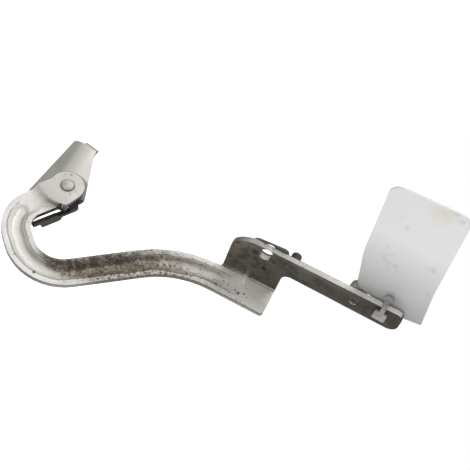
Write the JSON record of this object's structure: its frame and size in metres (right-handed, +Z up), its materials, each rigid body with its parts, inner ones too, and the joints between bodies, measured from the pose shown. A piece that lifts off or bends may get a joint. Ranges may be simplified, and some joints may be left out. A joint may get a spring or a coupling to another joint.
{
  "type": "hood hinge",
  "caption": "Pressed steel gooseneck hood hinge with a beaded arm on a riveted pivot, a folded body bracket, a slotted hood flange and a clipped guard plate.",
  "frame": {"origin": "centre of the mounting face under the body bracket's base", "axes": "+Z up from the mounting face, +Y along the pivot axis from the arm to the bracket's base, +X to the side of the arm's loop"},
  "size_m": [0.1561, 0.2196, 0.3144],
  "materials": {
    "plated_steel": "dull zinc plating, dirty in the bead",
    "bracket_steel": "dull zinc plating",
    "rivet_steel": "satin",
    "bearing_bronze": "dull",
    "pad_rubber": "matt",
    "buffer_rubber": "matt, dusty",
    "guard_plastic": "translucent white, semi-matt"
  },
  "bodies": {
    "bracket": {"body_bracket": "bracket_steel", "pivot_rivet": "rivet_steel", "rear_washer": "rivet_steel"},
    "arm": {"hinge_arm": "plated_steel", "pivot_bush": "bearing_bronze", "flange_pad": "pad_rubber", "locating_pin": "rivet_steel", "rubber_buffer": "buffer_rubber", "guard_plate": "guard_plastic", "guard_clip": "guard_plastic"}
  },
  "joints": [
    {"name": "arm_pivot", "type": "hinge", "parent": "bracket", "child": "arm", "pos_m": [0.0105, -0.04, 0.0285], "axis": [0, 1, 0], "range_deg": [0, 80]}
  ]
}
